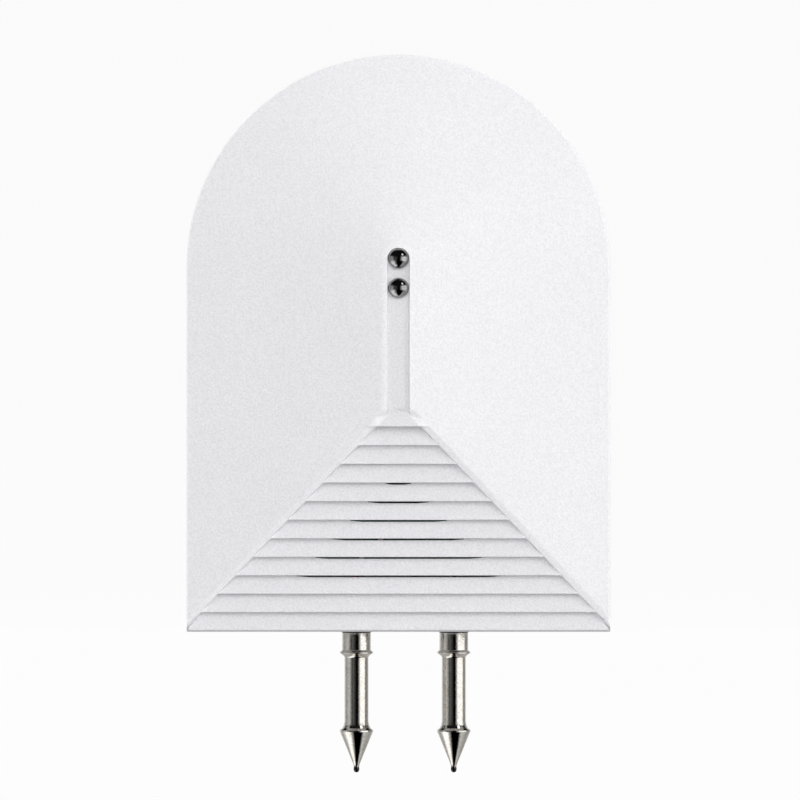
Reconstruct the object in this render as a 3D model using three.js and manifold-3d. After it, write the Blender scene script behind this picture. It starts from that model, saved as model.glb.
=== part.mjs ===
// Soil moisture sensor: a stake-in-ground wireless sensor.
// Millimetres, +Z up. X runs across the housing, -Y is the front, +Y the back.
// Origin: on the housing's underside, on its centre plane, level with the axes of the two probes.

import * as THREE from "three";
import { mergeVertices } from "three/addons/utils/BufferGeometryUtils.js";
import Module from "manifold-3d";

const wasm = await Module();
wasm.setup();

// ---------------------------------------------------------------- driving dimensions

const HALF_W = 35; // half the housing's width, and the arch's radius
const ARCH_Z = 60.3; // centre of the arch above the underside
const WALL = 2; // shell wall
const WALL_ROOF = 2.1; // thickness of the roof, along Y
const EDGE_R = 1.2; // rounding of the back edge

const Y_BACK = 8; // back face
const Y_PART = -5; // parting plane between the two shells
const Y_EAVE = -8.6; // where the roof leaves the side wall
const Y_RIDGE = -21; // crest of the roof
const SLOPE = 0.43; // the roof's slope beside the crest
const SAG = (SLOPE - (Y_EAVE - Y_RIDGE) / 32.7) / 32.7; // how much the slope eases towards the rim
const CREST_HALF = 2.3; // half width of the flat crest

const GROOVE_HALF = 1.76; // contact groove in the crest
const GROOVE_Y = -20.4;
const CEILING_Y = -18.4; // inside of the cover behind the groove
const GROOVE_LOW_Z = 35.3;
const HIP_TOP_Z = 37.3; // where the two hips run into the groove
const CONTACT_Z = [61.3, 56.55]; // the two front contacts

const LINE_TOP_Z = 33.96; // lower edge of the highest louvre board
const PITCH = 3.069; // louvre pitch
const LINES = 11;
const STEP = 1.6; // how far each board stands proud of the one below
const LIP = 0.25; // how far a board's lower edge lies under the roof line
const SLOTTED = [3, 4, 5, 6, 7, 8]; // the lines that are cut right through
const SLOT_H = 0.5;

const PROBE_X = [-7.0, 9.2];
const COLLAR_R = 2.4;
const SHAFT_R = 2.0;
const CONE_R = 2.8;
const TIP_Z = -23.5;

const DOOR_HALF = 13.2;
const DOOR_TOP = 65.7;
const BAY_HALF = 11.4;
const BAY_Z = [13.5, 64.5];
const BAY_FLOOR_Y = -4.95;

const BOARD_Y = [-8.2, -6.6]; // circuit board, front and back faces
const CASE_SCREWS = [
  [-28, 12],
  [28, 12],
  [-22, 72],
  [22, 72],
];
const BOARD_SCREWS = [
  [-16.5, 22],
  [16.5, 22],
  [-16.5, 58],
  [16.5, 58],
];
const BUTTON_Z = 71.2;

const BATTERY_X = 5.55;
const BATTERY_Y = 0.6;
const BATTERY_R = 5.2;

// ---------------------------------------------------------------- solids from three.js geometry

function solid(geometry) {
  const g = geometry.index ? geometry.toNonIndexed() : geometry.clone();
  const bare = new THREE.BufferGeometry().setAttribute(
    "position",
    g.getAttribute("position"),
  );
  const merged = mergeVertices(bare, 1e-4);
  const index = merged.index.array;
  const kept = [];
  for (let i = 0; i < index.length; i += 3) {
    const [a, b, c] = [index[i], index[i + 1], index[i + 2]];
    if (a !== b && b !== c && a !== c) kept.push(a, b, c);
  }
  const make = (tris) =>
    new wasm.Manifold(
      new wasm.Mesh({
        numProp: 3,
        vertProperties: new Float32Array(merged.attributes.position.array),
        triVerts: new Uint32Array(tris),
      }),
    );
  const made = make(kept);
  if (made.volume() >= 0) return made;
  for (let i = 0; i < kept.length; i += 3)
    [kept[i + 1], kept[i + 2]] = [kept[i + 2], kept[i + 1]];
  return make(kept);
}

const join = (...parts) => parts.reduce((a, b) => a.add(b));
const cut = (from, ...parts) => parts.reduce((a, b) => a.subtract(b), from);

function box(x0, x1, y0, y1, z0, z1) {
  return solid(
    new THREE.BoxGeometry(x1 - x0, y1 - y0, z1 - z0).translate(
      (x0 + x1) / 2,
      (y0 + y1) / 2,
      (z0 + z1) / 2,
    ),
  );
}

// A cylinder along Y between y0 and y1.
function rodY(r, x, z, y0, y1, sides = 24) {
  return solid(
    new THREE.CylinderGeometry(r, r, y1 - y0, sides).translate(
      x,
      (y0 + y1) / 2,
      z,
    ),
  );
}

// A cylinder along Z between z0 and z1.
function rodZ(r, x, y, z0, z1, sides = 24) {
  return solid(
    new THREE.CylinderGeometry(r, r, z1 - z0, sides)
      .rotateX(Math.PI / 2)
      .translate(x, y, (z0 + z1) / 2),
  );
}

// A front-view outline, points (x, z), extruded along Y.
function frontPrism(shape, y0, y1, curveSegments = 24) {
  return solid(
    new THREE.ExtrudeGeometry(shape, {
      depth: y1 - y0,
      bevelEnabled: false,
      curveSegments,
    })
      .rotateX(Math.PI / 2)
      .translate(0, y1, 0),
  );
}

// A side-view outline, points (y, z), extruded along X.
const SIDE = new THREE.Matrix4().makeBasis(
  new THREE.Vector3(0, 1, 0),
  new THREE.Vector3(0, 0, 1),
  new THREE.Vector3(1, 0, 0),
);
function sidePrism(points, x0, x1) {
  const shape = new THREE.Shape(
    points.map(([y, z]) => new THREE.Vector2(y, z)),
  );
  return solid(
    new THREE.ExtrudeGeometry(shape, { depth: x1 - x0, bevelEnabled: false })
      .applyMatrix4(SIDE)
      .translate(x0, 0, 0),
  );
}

// A plan-view outline, points (x, y), extruded along Z.
function planPrism(points, z0, z1) {
  const shape = new THREE.Shape(
    points.map(([x, y]) => new THREE.Vector2(x, y)),
  );
  return solid(
    new THREE.ExtrudeGeometry(shape, {
      depth: z1 - z0,
      bevelEnabled: false,
    }).translate(0, 0, z0),
  );
}

// A turned part about a vertical axis at (x, y); profile points (r, z).
function turnedZ(profile, x, y, sides = 32) {
  return solid(
    new THREE.LatheGeometry(
      profile.map(([r, z]) => new THREE.Vector2(r, z)),
      sides,
    )
      .rotateX(Math.PI / 2)
      .translate(x, y, 0),
  );
}

// A turned part about an axis along Y at (x, z); profile points (r, y).
function turnedY(profile, x, z, sides = 32) {
  return solid(
    new THREE.LatheGeometry(
      profile.map(([r, y]) => new THREE.Vector2(r, y)),
      sides,
    ).translate(x, 0, z),
  );
}

// A round wire along a curve.
class Helix extends THREE.Curve {
  constructor(turns, r0, r1, a0, a1, axis, centre) {
    super();
    Object.assign(this, { turns, r0, r1, a0, a1, axis, centre });
  }
  getPoint(t, out = new THREE.Vector3()) {
    const r = this.r0 + (this.r1 - this.r0) * t;
    const a = t * this.turns * 2 * Math.PI;
    const h = this.a0 + (this.a1 - this.a0) * t;
    const [u, v] = [r * Math.cos(a), r * Math.sin(a)];
    if (this.axis === "z")
      return out.set(this.centre[0] + u, this.centre[1] + v, h);
    if (this.axis === "y")
      return out.set(this.centre[0] + u, h, this.centre[1] + v);
    return out.set(h, this.centre[0] + u, this.centre[1] + v);
  }
}

function wire(curve, r, steps, sides = 6) {
  const ring = new THREE.Shape();
  for (let i = 0; i < sides; i++) {
    const a = (i / sides) * 2 * Math.PI;
    const [x, y] = [r * Math.cos(a), r * Math.sin(a)];
    i ? ring.lineTo(x, y) : ring.moveTo(x, y);
  }
  ring.closePath();
  return solid(
    new THREE.ExtrudeGeometry(ring, {
      steps,
      bevelEnabled: false,
      extrudePath: curve,
    }),
  );
}

// The housing's outline in the front view, taken in by `inset`.
function archShape(inset, base = inset) {
  const r = HALF_W - inset;
  const s = new THREE.Shape();
  s.moveTo(-r, base);
  s.lineTo(r, base);
  s.lineTo(r, ARCH_Z);
  s.absarc(0, ARCH_Z, r, 0, Math.PI, false);
  s.closePath();
  return s;
}

// ---------------------------------------------------------------- roof and louvres

// Depth of the roof, r mm out from the crest's centre.
const roofY = (r) =>
  Y_RIDGE + SLOPE * (r - CREST_HALF) - SAG * (r - CREST_HALF) ** 2;
const hipX = (z) => 36.18 - z / 1.062; // inner edge of the louvre recess
const roofLine = (z) => roofY(hipX(z) + 1) - 0.22; // the louvred slope
const lineZ = (k) => LINE_TOP_Z - PITCH * k;

// The roof: two side slopes and a half dome over the arch, both `t` under the outer surface.
function roof(inset, t) {
  const r = HALF_W - inset;
  const slope = [1, 0.75, 0.5, 0.25, 0].map((u) => {
    const at = CREST_HALF + (r - CREST_HALF) * u;
    return [at, roofY(at) + t];
  });
  const cone = turnedY(
    [[0, Y_PART], [r, Y_PART], ...slope, [0, Y_RIDGE + t]],
    0,
    ARCH_Z,
    72,
  );
  const ridge = planPrism(
    [
      [-r, Y_PART],
      ...slope.map(([x, y]) => [-x, y]),
      ...[...slope].reverse(),
      [r, Y_PART],
    ],
    inset,
    ARCH_Z,
  );
  return join(cone, ridge);
}

function frontCover() {
  let body = roof(0, 0);

  // Contact groove along the crest, closed by a round end about the upper contact.
  const groove = join(
    box(-GROOVE_HALF, GROOVE_HALF, -30, GROOVE_Y, 30, CONTACT_Z[0]),
    rodY(GROOVE_HALF, 0, CONTACT_Z[0], -30, GROOVE_Y, 32),
  );

  // Louvre recess: everything in front of the boards, between the two hips.
  const steps = [
    [-40, HIP_TOP_Z],
    [GROOVE_Y, HIP_TOP_Z],
    [GROOVE_Y, GROOVE_LOW_Z],
  ];
  for (let k = 0; k < LINES; k++) {
    const z = lineZ(k);
    steps.push([roofLine(z) + LIP, z]);
    steps.push([roofLine(z) + LIP + STEP, z]);
  }
  steps.push([roofLine(0) + LIP, 0]);
  steps.push([roofLine(0) + LIP, -0.5]);
  steps.push([-40, -0.5]);
  const hips = new THREE.Shape();
  const half = (z) => hipX(z) + 0.7;
  hips.moveTo(-half(-0.5), -0.5);
  hips.lineTo(half(-0.5), -0.5);
  hips.lineTo(half(HIP_TOP_Z), HIP_TOP_Z);
  hips.lineTo(-half(HIP_TOP_Z), HIP_TOP_Z);
  hips.closePath();
  const recess = sidePrism(steps, -40, 40).intersect(
    frontPrism(hips, -39, Y_PART - 0.5),
  );
  body = cut(body, groove, recess);

  // Hollow.
  const inner = (z) => roofLine(z) + LIP + STEP + 0.9;
  const hollowLower = sidePrism(
    [
      [Y_PART + 2, WALL],
      [Y_PART + 2, 110],
      [CEILING_Y - 1, 110],
      [CEILING_Y - 1, 36],
      ...[34, 28, 22, 16, 10, 5, WALL].map((z) => [inner(z), z]),
    ],
    -60,
    60,
  );
  const top = box(-60, 60, CEILING_Y, 10, 0, 110);
  const hollow = join(
    roof(WALL, WALL_ROOF),
    frontPrism(archShape(WALL), Y_PART - 0.01, Y_PART + 1, 24),
  )
    .intersect(hollowLower)
    .intersect(top);
  body = cut(body, hollow);

  // Screw bosses, and the contacts' holes and nut seats.
  for (const [x, z] of CASE_SCREWS)
    body = join(
      body,
      rodY(2.9, x, z, -11.5, Y_PART - 0.05, 20).intersect(roof(0.5, 0.9)),
    );
  for (const [x, z] of CASE_SCREWS)
    body = cut(body, rodY(1.25, x, z, -8.6, Y_PART + 1, 16));
  for (const z of CONTACT_Z)
    body = cut(
      body,
      rodY(1.1, 0, z, -30, -12, 20),
      rodY(2.45, 0, z, CEILING_Y, -12, 20),
    );

  // Louvre slots.
  for (const k of SLOTTED) {
    const z = lineZ(k);
    const half = hipX(z) - 10.75;
    body = cut(
      body,
      box(-half, half, roofLine(z) - 1, roofLine(z) + 5, z - SLOT_H, z),
    );
  }
  return body;
}

// ---------------------------------------------------------------- rear housing

function rearHousing() {
  // Blank with a rounded back edge round the arch and sides, square along the underside.
  const blank = solid(
    new THREE.ExtrudeGeometry(archShape(0, -4), {
      depth: Y_BACK - Y_PART,
      bevelEnabled: true,
      bevelThickness: EDGE_R,
      bevelSize: EDGE_R,
      bevelOffset: -EDGE_R,
      bevelSegments: 3,
      curveSegments: 36,
    })
      .rotateX(Math.PI / 2)
      .translate(0, Y_BACK - EDGE_R, 0),
  );
  let body = cut(
    blank,
    box(-60, 60, -40, Y_PART, -20, 120),
    box(-60, 60, -40, 40, -20, 0),
  );
  body = cut(body, frontPrism(archShape(WALL), Y_PART - 1, 6, 28));

  // Locating lip that enters the front cover.
  const lip = cut(
    join(
      frontPrism(archShape(2.25), -5.8, Y_PART + 1.5, 28),
      frontPrism(archShape(1.5), Y_PART, Y_PART + 1.5, 28),
    ),
    frontPrism(archShape(3.3), -6, Y_PART + 2, 28),
    box(-29.5, 29.5, -7, Y_PART + 2, WALL, 5),
  );
  body = join(body, lip);

  // Land under the battery door, and the battery bay's walls.
  body = join(
    body,
    box(-16.2, 16.2, 4.9, 7, 1, 68),
    box(-12.6, 12.6, -6.15, 6, 12.3, 65.7),
  );

  // Posts for the circuit board and tubes for the case screws.
  for (const [x, z] of BOARD_SCREWS)
    body = join(body, rodY(2.3, x, z, -6.55, 7, 16));
  for (const [x, z] of CASE_SCREWS)
    body = join(body, rodY(3.7, x, z, Y_PART, 7, 20));
  body = join(body, rodY(5.8, 0, BUTTON_Z, 2.6, 7, 28));

  // Battery bay.
  body = cut(
    body,
    box(-BAY_HALF, BAY_HALF, BAY_FLOOR_Y, 9, BAY_Z[0], BAY_Z[1]),
  );
  // Step that carries the positive contact, and the rib between the cells.
  body = join(
    body,
    box(1.4, 9.8, BAY_FLOOR_Y - 0.5, 4.4, BAY_Z[0] - 0.5, 15.85),
    box(-0.25, 0.25, BAY_FLOOR_Y - 0.5, -1.6, 20, 57),
  );
  // Door channel: a wide groove for the door's tongues under a narrower mouth, open at the underside.
  body = cut(
    body,
    box(-14.4, 14.4, 6.2, 7.35, -1, 66),
    box(-13.4, 13.4, 7, 9, -1, 66),
  );

  // Openings for the contacts' solder tails.
  body = cut(
    body,
    box(-7.3, -4.3, -7, -4, 13.4, 14.3),
    box(4.3, 7.3, -7, -4, 15.85, 16.6),
    box(-1.5, 1.5, -7, -4, 63.6, 64.5),
  );

  // Screw holes.
  for (const [x, z] of BOARD_SCREWS)
    body = cut(body, rodY(1.1, x, z, -8, -1.4, 12));
  for (const [x, z] of CASE_SCREWS)
    body = cut(
      body,
      rodY(2.6, x, z, 4, 9, 20),
      rodY(1.35, x, z, Y_PART - 1, 5, 12),
    );

  // Button guide.
  body = cut(
    body,
    rodY(4.55, 0, BUTTON_Z, 2, 6, 28),
    rodY(3.6, 0, BUTTON_Z, 5, 9, 28),
  );

  // Probe holes, each with a counterbore for its seal.
  for (const x of PROBE_X)
    body = cut(
      body,
      rodZ(1.7, x, 0, -1, 3, 24),
      rodZ(2.9, x, 0, -1, 0.9, 32),
    );
  return body;
}

// ---------------------------------------------------------------- battery door

function batteryDoor() {
  let door = join(
    box(-DOOR_HALF, DOOR_HALF, 6.4, 7.95, 0.15, DOOR_TOP),
    box(-14.2, 14.2, 6.4, 7.2, 0.15, DOOR_TOP - 0.6),
  );
  // Thumb pad with ribs.
  const pad = new THREE.Shape();
  pad.absarc(0, 9.5, 5.5, 0, Math.PI, false);
  pad.absarc(0, 9.5, 5.5, Math.PI, 2 * Math.PI, false);
  door = cut(door, frontPrism(pad, 7.45, 9, 14));
  for (const z of [6.1, 7.8, 9.5, 11.2, 12.9]) {
    const half = Math.sqrt(5.5 ** 2 - (z - 9.5) ** 2) - 0.7;
    door = join(door, box(-half, half, 7.3, 7.9, z - 0.35, z + 0.35));
  }
  return door;
}

// ---------------------------------------------------------------- probes

function probe(x) {
  return turnedZ(
    [
      [0, TIP_Z],
      [0.3, TIP_Z + 0.07],
      [0.47, TIP_Z + 0.32],
      [0.47, TIP_Z + 0.62],
      [0.44, TIP_Z + 0.95],
      [CONE_R, -16.8],
      [CONE_R, -16.58],
      [2.15, -16.1],
      [SHAFT_R, -15.7],
      [SHAFT_R, -4.4],
      [2.3, -4.15],
      [CONE_R, -3.75],
      [COLLAR_R, -3.25],
      [COLLAR_R, -0.35],
      [1.5, -0.35],
      [1.5, 7.2],
      [1.2, 7.6],
      [0, 7.6],
    ],
    x,
    0,
    28,
  );
}

function seal(x) {
  return turnedZ(
    [
      [1.62, -0.33],
      [2.6, -0.33],
      [2.75, -0.2],
      [2.75, 0.75],
      [2.6, 0.88],
      [1.62, 0.88],
      [1.62, -0.33],
    ],
    x,
    0,
    32,
  );
}

function hexNut(acrossFlats, rIn, x, y, z0, z1) {
  const r = acrossFlats / Math.sqrt(3);
  return cut(
    solid(
      new THREE.CylinderGeometry(r, r, z1 - z0, 6)
        .rotateX(Math.PI / 2)
        .translate(x, y, (z0 + z1) / 2),
    ),
    rodZ(rIn, x, y, z0 - 1, z1 + 1, 24),
  );
}

// Ring terminal with a crimp barrel turned up towards the board.
function lug(x) {
  return cut(
    join(
      rodZ(3.0, x, 0, 2.02, 2.52, 28),
      box(x - 1.3, x + 1.3, -4.4, -2, 2.02, 2.52),
      box(x - 1.3, x + 1.3, -4.4, -3.9, 2.1, 5.2),
      box(x - 1.3, x - 0.85, -5.0, -4.2, 2.9, 5.2),
      box(x + 0.85, x + 1.3, -5.0, -4.2, 2.9, 5.2),
    ),
    rodZ(1.65, x, 0, 1, 4, 24),
  );
}

function probeWire(x) {
  const path = new THREE.CatmullRomCurve3(
    [
      [x, -4.95, 3.0],
      [x, -4.97, 5.0],
      [x, -4.9, 7.4],
      [x, -4.8, 9.6],
      [x, -4.9, 10.7],
      [x, -5.45, 11.4],
      [x, -6.1, 11.5],
    ].map((p) => new THREE.Vector3(...p)),
  );
  return wire(path, 0.45, 16, 7);
}

// ---------------------------------------------------------------- front contacts

function frontContact(z) {
  return turnedY(
    [
      [0, -21.95],
      [0.46, -21.88],
      [0.92, -21.66],
      [1.31, -21.3],
      [1.58, -20.85],
      [1.66, -20.44],
      [1.0, -20.44],
      [1.0, -15.8],
      [0.8, -15.5],
      [0, -15.5],
    ],
    0,
    z,
    28,
  );
}

function contactNut(z) {
  const r = 4 / Math.sqrt(3);
  return cut(
    solid(
      new THREE.CylinderGeometry(r, r, 1.4, 6)
        .rotateY(Math.PI / 6)
        .translate(0, -17.68, z),
    ),
    rodY(1.12, 0, z, -19, -16, 20),
  );
}

function contactSpring(z) {
  return wire(
    new Helix(5, 1.35, 1.35, -16.55, -8.55, "y", [0, z]),
    0.2,
    50,
    5,
  );
}

// ---------------------------------------------------------------- electronics

function circuitBoard() {
  const s = new THREE.Shape();
  s.moveTo(-19.5, 10.9);
  s.lineTo(19.5, 10.9);
  s.lineTo(19.5, 66);
  s.lineTo(14.0, 75.5);
  s.lineTo(-14.0, 75.5);
  s.lineTo(-19.5, 66);
  s.closePath();
  let board = frontPrism(s, BOARD_Y[0], BOARD_Y[1]);
  for (const [x, z] of BOARD_SCREWS)
    board = cut(board, rodY(1.2, x, z, -9, -6, 16));
  return cut(
    board,
    box(-7.3, -4.3, -9, -6, 13.4, 14.3),
    box(4.3, 7.3, -9, -6, 15.85, 16.6),
    box(-1.5, 1.5, -9, -6, 63.6, 64.4),
  );
}

function coilAntenna() {
  const coil = wire(
    new Helix(7, 1.8, 1.8, 2.6, 11.2, "x", [-10.7, 65.5]),
    0.3,
    70,
    5,
  );
  // Leg from the coil's first turn back to the board.
  const leg = box(2.3, 2.9, -9.1, BOARD_Y[0] - 0.02, 65.2, 65.8);
  return join(coil, leg);
}

function buzzer() {
  return cut(
    rodY(6, 0, 26, -10.7, BOARD_Y[0] - 0.02, 36),
    rodY(1, 0, 26, -12, -9.4, 16),
  );
}

// ---------------------------------------------------------------- button and its switch

function learnButton() {
  return turnedY(
    [
      [0, -1.95],
      [1.5, -1.95],
      [1.5, 3.9],
      [4.3, 3.9],
      [4.3, 5.0],
      [4.3, 5.9],
      [3.4, 5.9],
      [3.4, 7.5],
      [3.2, 7.7],
      [0, 7.7],
    ],
    0,
    BUTTON_Z,
    32,
  );
}

// ---------------------------------------------------------------- batteries and contacts

function cell(x, up) {
  const p = [
    [0, 0],
    [4.4, 0],
    [4.9, 0.15],
    [BATTERY_R, 0.5],
    [BATTERY_R, 43.2],
    [4.9, 43.6],
    [1.9, 43.6],
    [1.9, 44.4],
    [1.7, 44.5],
    [0, 44.5],
  ];
  const z0 = 16.4;
  return turnedZ(
    up
      ? p.map(([r, z]) => [r, z0 + z])
      : p.map(([r, z]) => [r, z0 + 44.5 - z]).reverse(),
    x,
    BATTERY_Y,
    24,
  );
}

function negativeContact() {
  return join(
    box(-9.4, -1.6, -4.6, 4.4, 13.52, 13.92),
    box(-7.0, -4.6, -8.6, -4.5, 13.52, 13.92),
    wire(
      new Helix(2.5, 3.5, 1.9, 14.05, 16.05, "z", [-BATTERY_X, BATTERY_Y]),
      0.3,
      34,
      6,
    ),
  );
}

function positiveContact() {
  return join(
    box(1.8, 9.4, -4.6, 4.4, 15.9, 16.2),
    box(4.6, 7.0, -8.6, -4.5, 15.9, 16.2),
    rodZ(1.6, BATTERY_X, BATTERY_Y, 16.1, 16.36, 20),
  );
}

function bridgeContact() {
  return join(
    box(-9.4, 9.4, -4.6, 4.4, 64.02, 64.42),
    box(-1.2, 1.2, -8.6, -4.5, 64.02, 64.35),
    turnedZ(
      [
        [0, 60.95],
        [1.5, 60.95],
        [2.4, 64.1],
        [0, 64.1],
      ],
      -BATTERY_X,
      BATTERY_Y,
      20,
    ),
    wire(
      new Helix(3, 1.9, 3.5, 61.3, 63.95, "z", [BATTERY_X, BATTERY_Y]),
      0.3,
      40,
      6,
    ),
  );
}

// ---------------------------------------------------------------- screws

function caseScrew(x, z) {
  const screw = turnedY(
    [
      [0, -8.4],
      [0.3, -8.4],
      [1.1, -7.4],
      [1.1, 4.05],
      [2.2, 4.05],
      [2.2, 4.7],
      [1.9, 5.3],
      [1.2, 5.65],
      [0, 5.75],
    ],
    x,
    z,
    16,
  );
  return cut(
    screw,
    box(x - 1.3, x + 1.3, 4.9, 7, z - 0.3, z + 0.3),
    box(x - 0.3, x + 0.3, 4.9, 7, z - 1.3, z + 1.3),
  );
}

function boardScrew(x, z) {
  const screw = turnedY(
    [
      [0, -9.5],
      [1.2, -9.4],
      [1.8, -8.9],
      [1.8, -8.25],
      [0.95, -8.25],
      [0.95, -2.6],
      [0.3, -1.8],
      [0, -1.8],
    ],
    x,
    z,
    14,
  );
  return cut(
    screw,
    box(x - 1.0, x + 1.0, -10, -8.9, z - 0.22, z + 0.22),
    box(x - 0.22, x + 0.22, -10, -8.9, z - 1.0, z + 1.0),
  );
}

// ---------------------------------------------------------------- materials

const finish = (color, roughness, metalness = 0) =>
  new THREE.MeshStandardMaterial({ color, roughness, metalness });
const whiteShell = finish(0xf1f1f3, 0.55);
const whiteRear = finish(0xeeeef0, 0.6);
const nickel = finish(0xb9b4ab, 0.18, 1);
const chrome = finish(0x8e8d8c, 0.08, 1);
const rubber = finish(0x1c1c1d, 0.8);
const steel = finish(0xb0b2b4, 0.3, 1);
const tinned = finish(0xcfd0d0, 0.35, 1);
const wireJacket = finish(0x9c1f1b, 0.5);
const wireJacketDark = finish(0x1d1d1f, 0.5);
const boardGreen = finish(0x1d5a36, 0.45);
const chipBlack = finish(0x19191b, 0.6);
const buzzerBlack = finish(0x202022, 0.5);
const copper = finish(0xb87a4b, 0.3, 1);
const canSilver = finish(0xc4c6c8, 0.28, 1);
const cellJacket = finish(0x2f5d7c, 0.35, 0.2);
const buttonGrey = finish(0xa9abae, 0.6);
const switchBlack = finish(0x161617, 0.55);

// ---------------------------------------------------------------- assembly

const sensor = new THREE.Group();
sensor.name = "soil_moisture_sensor";

function add(group, name, body, material) {
  const m = body.getMesh();
  const positions = new Float32Array(m.numVert * 3);
  for (let i = 0; i < m.numVert; i++)
    positions.set(
      m.vertProperties.subarray(i * m.numProp, i * m.numProp + 3),
      i * 3,
    );
  const geometry = new THREE.BufferGeometry()
    .setAttribute("position", new THREE.BufferAttribute(positions, 3))
    .setIndex(new THREE.BufferAttribute(new Uint32Array(m.triVerts), 1));
  geometry.computeVertexNormals();
  const mesh = new THREE.Mesh(geometry, material);
  mesh.name = name;
  group.add(mesh);
  return mesh;
}

const group = (name) => {
  const g = new THREE.Group();
  g.name = name;
  sensor.add(g);
  return g;
};

const shells = group("shells");
add(shells, "front_cover", frontCover(), whiteShell);
add(shells, "rear_housing", rearHousing(), whiteRear);
add(shells, "battery_door", batteryDoor(), whiteRear);
CASE_SCREWS.forEach(([x, z], i) =>
  add(shells, `case_screw_${i + 1}`, caseScrew(x, z), steel),
);

const probes = group("probes");
PROBE_X.forEach((x, i) => {
  const side = i ? "right" : "left";
  add(probes, `probe_${side}`, probe(x), nickel);
  add(probes, `probe_seal_${side}`, seal(x), rubber);
  add(probes, `probe_lug_${side}`, lug(x), tinned);
  add(probes, `probe_nut_${side}`, hexNut(5.5, 1.6, x, 0, 2.55, 4.95), steel);
  add(
    probes,
    `probe_wire_${side}`,
    probeWire(x),
    i ? wireJacketDark : wireJacket,
  );
});

const contacts = group("front_contacts");
CONTACT_Z.forEach((z, i) => {
  const place = i ? "lower" : "upper";
  add(contacts, `front_contact_${place}`, frontContact(z), chrome);
  add(contacts, `contact_nut_${place}`, contactNut(z), steel);
  add(contacts, `contact_spring_${place}`, contactSpring(z), steel);
});

const electronics = group("electronics");
add(electronics, "circuit_board", circuitBoard(), boardGreen);
BOARD_SCREWS.forEach(([x, z], i) =>
  add(electronics, `board_screw_${i + 1}`, boardScrew(x, z), steel),
);
add(
  electronics,
  "rf_module_board",
  box(-14.5, 1.5, -9.05, BOARD_Y[0] - 0.02, 34, 54),
  finish(0x24466f, 0.45),
);
add(
  electronics,
  "rf_shield_can",
  box(-13.5, 0.5, -11.2, -9.07, 35, 50),
  canSilver,
);
add(
  electronics,
  "microcontroller",
  box(5.5, 13.5, -9.5, BOARD_Y[0] - 0.02, 38, 46),
  chipBlack,
);
add(
  electronics,
  "clock_crystal",
  box(6.5, 12.5, -10.0, BOARD_Y[0] - 0.02, 49, 51.6),
  canSilver,
);
add(
  electronics,
  "reservoir_capacitor",
  rodY(3.0, 12, 30, -12.2, BOARD_Y[0] - 0.02, 28),
  canSilver,
);
add(electronics, "coil_antenna", coilAntenna(), copper);
add(electronics, "piezo_buzzer", buzzer(), buzzerBlack);

const button = group("learn_button");
add(
  button,
  "switch_body",
  cut(
    box(-3, 3, BOARD_Y[1] + 0.02, -3.1, BUTTON_Z - 3, BUTTON_Z + 3),
    rodY(1.9, 0, BUTTON_Z, -5.2, -2, 24),
  ),
  switchBlack,
);
add(
  button,
  "switch_plunger",
  rodY(1.7, 0, BUTTON_Z, -4.5, -2.0, 24),
  switchBlack,
);
add(button, "learn_button_cap", learnButton(), buttonGrey);

const power = group("power");
add(power, "battery_left", cell(-BATTERY_X, true), cellJacket);
add(power, "battery_right", cell(BATTERY_X, false), cellJacket);
add(power, "battery_contact_negative", negativeContact(), tinned);
add(power, "battery_contact_positive", positiveContact(), tinned);
add(power, "battery_contact_bridge", bridgeContact(), tinned);

export default sensor;
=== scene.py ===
import math

import bmesh
import bpy
import numpy as np
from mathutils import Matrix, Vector
from mathutils.geometry import delaunay_2d_cdt


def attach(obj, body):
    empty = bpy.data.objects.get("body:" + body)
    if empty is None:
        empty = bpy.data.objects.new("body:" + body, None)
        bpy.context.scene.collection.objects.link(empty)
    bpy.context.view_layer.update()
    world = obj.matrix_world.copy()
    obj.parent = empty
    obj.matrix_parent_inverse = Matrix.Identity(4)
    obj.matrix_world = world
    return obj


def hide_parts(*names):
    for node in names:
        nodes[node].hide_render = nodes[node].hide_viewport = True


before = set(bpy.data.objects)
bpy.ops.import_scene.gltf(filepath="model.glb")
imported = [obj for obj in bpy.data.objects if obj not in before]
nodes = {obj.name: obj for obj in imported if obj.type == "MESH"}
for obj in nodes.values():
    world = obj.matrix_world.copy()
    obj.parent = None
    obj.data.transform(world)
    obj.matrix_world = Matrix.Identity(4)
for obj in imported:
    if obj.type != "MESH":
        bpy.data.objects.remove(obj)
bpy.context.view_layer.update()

MM = 0.001

# ------------------------------------------------------------------ dimensions, in mm, as the solids have them,
# except that the solids' louvre step is 1.6, their slots are 0.5 high and their probes end at -23.5

HALF_W, ARCH_Z = 35.0, 60.3
Y_PART, Y_EAVE, Y_RIDGE, CREST = -5.0, -8.6, -21.0, 2.3
SLOPE = 0.43
SAG = (SLOPE - (Y_EAVE - Y_RIDGE) / (HALF_W - CREST)) / (HALF_W - CREST)
GROOVE, GROOVE_Y, GROOVE_LOW_Z = 1.76, -20.4, 35.3
CONTACT_Z = (61.3, 56.55)
LINE_TOP_Z, PITCH, LINES = 33.96, 3.069, 11
LIP, STEP, HOLLOW = 0.25, 1.4, 0.12
SLOTTED = (3, 4, 5, 6, 7, 8)
SLOT_H = 0.34
STRIP = (-0.4, 0.74)  # the flat strip along each hip, from its inner to its outer edge
PROBES = {"left": -7.0, "right": 9.2}


# ------------------------------------------------------------------ node helpers


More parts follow.
